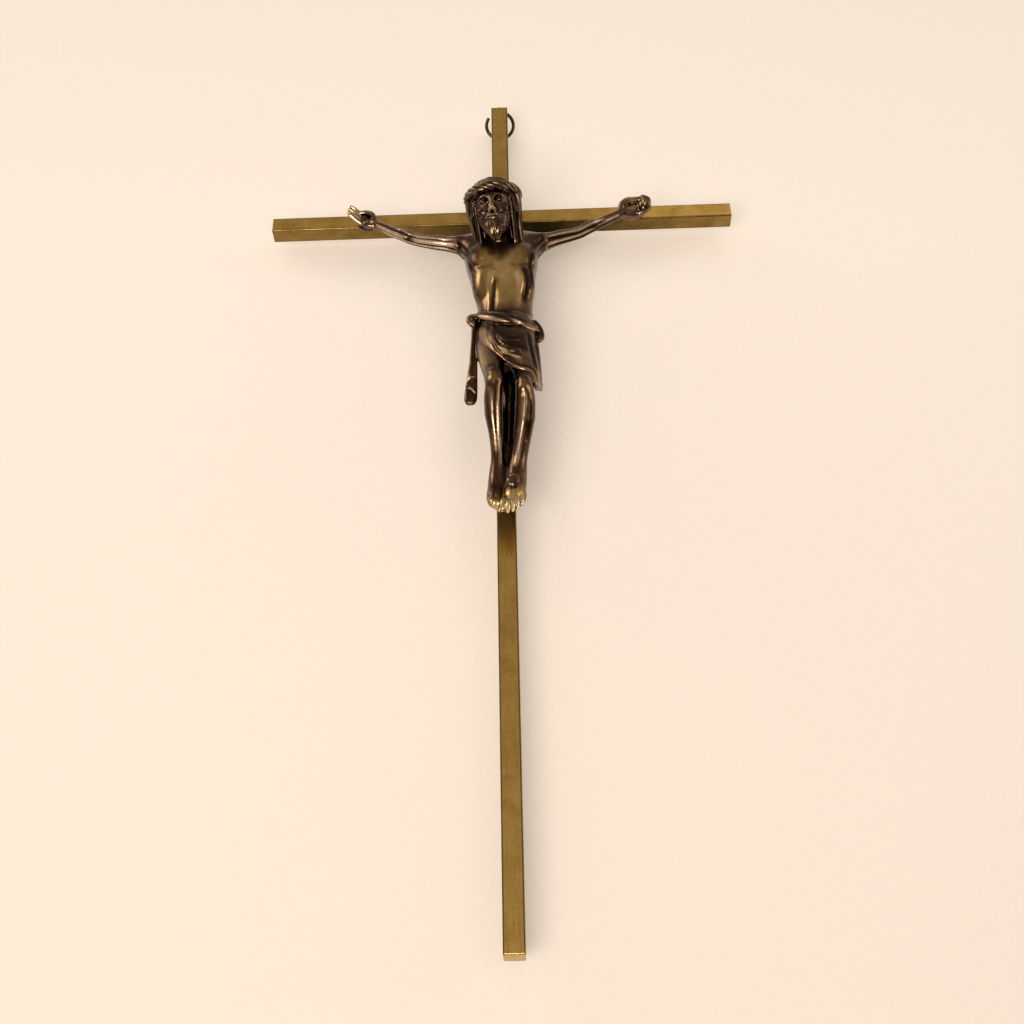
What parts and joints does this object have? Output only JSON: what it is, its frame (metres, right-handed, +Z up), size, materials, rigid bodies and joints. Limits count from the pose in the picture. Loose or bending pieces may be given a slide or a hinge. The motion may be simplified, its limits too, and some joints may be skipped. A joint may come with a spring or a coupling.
{
  "type": "wall crucifix",
  "caption": "Slim square-bar brass Latin cross carrying a cast corpus in bronze patina, with a hanging ring at the top.",
  "frame": {"origin": "centre of the crossing on the back face of the bars", "axes": "+Z up along the upright, +X to the viewer's right along the crossbar, +Y out of the back towards the wall"},
  "size_m": [0.13, 0.0321, 0.2574],
  "materials": {
    "bar_brass": "aged brushed brass under lacquer",
    "corpus_bronze": "dark bronze patina worn to gold on the high spots",
    "nail_bronze": "nearly black patina",
    "hanger_wire": "dark brown patina"
  },
  "bodies": {
    "cross": {"upright_bar": "bar_brass", "crossbar": "bar_brass", "corpus_body": "corpus_bronze", "right_arm": "corpus_bronze", "left_arm": "corpus_bronze", "right_hand_nail": "nail_bronze", "left_hand_nail": "nail_bronze", "foot_nail": "nail_bronze", "eye_pin": "hanger_wire"},
    "ring": {"hanging_ring": "hanger_wire"}
  },
  "joints": [
    {"name": "ring_swing", "type": "hinge", "parent": "cross", "child": "ring", "pos_m": [0, -0.00113, 0.04705], "axis": [1, 0, 0], "range_deg": [-17, 280]}
  ]
}
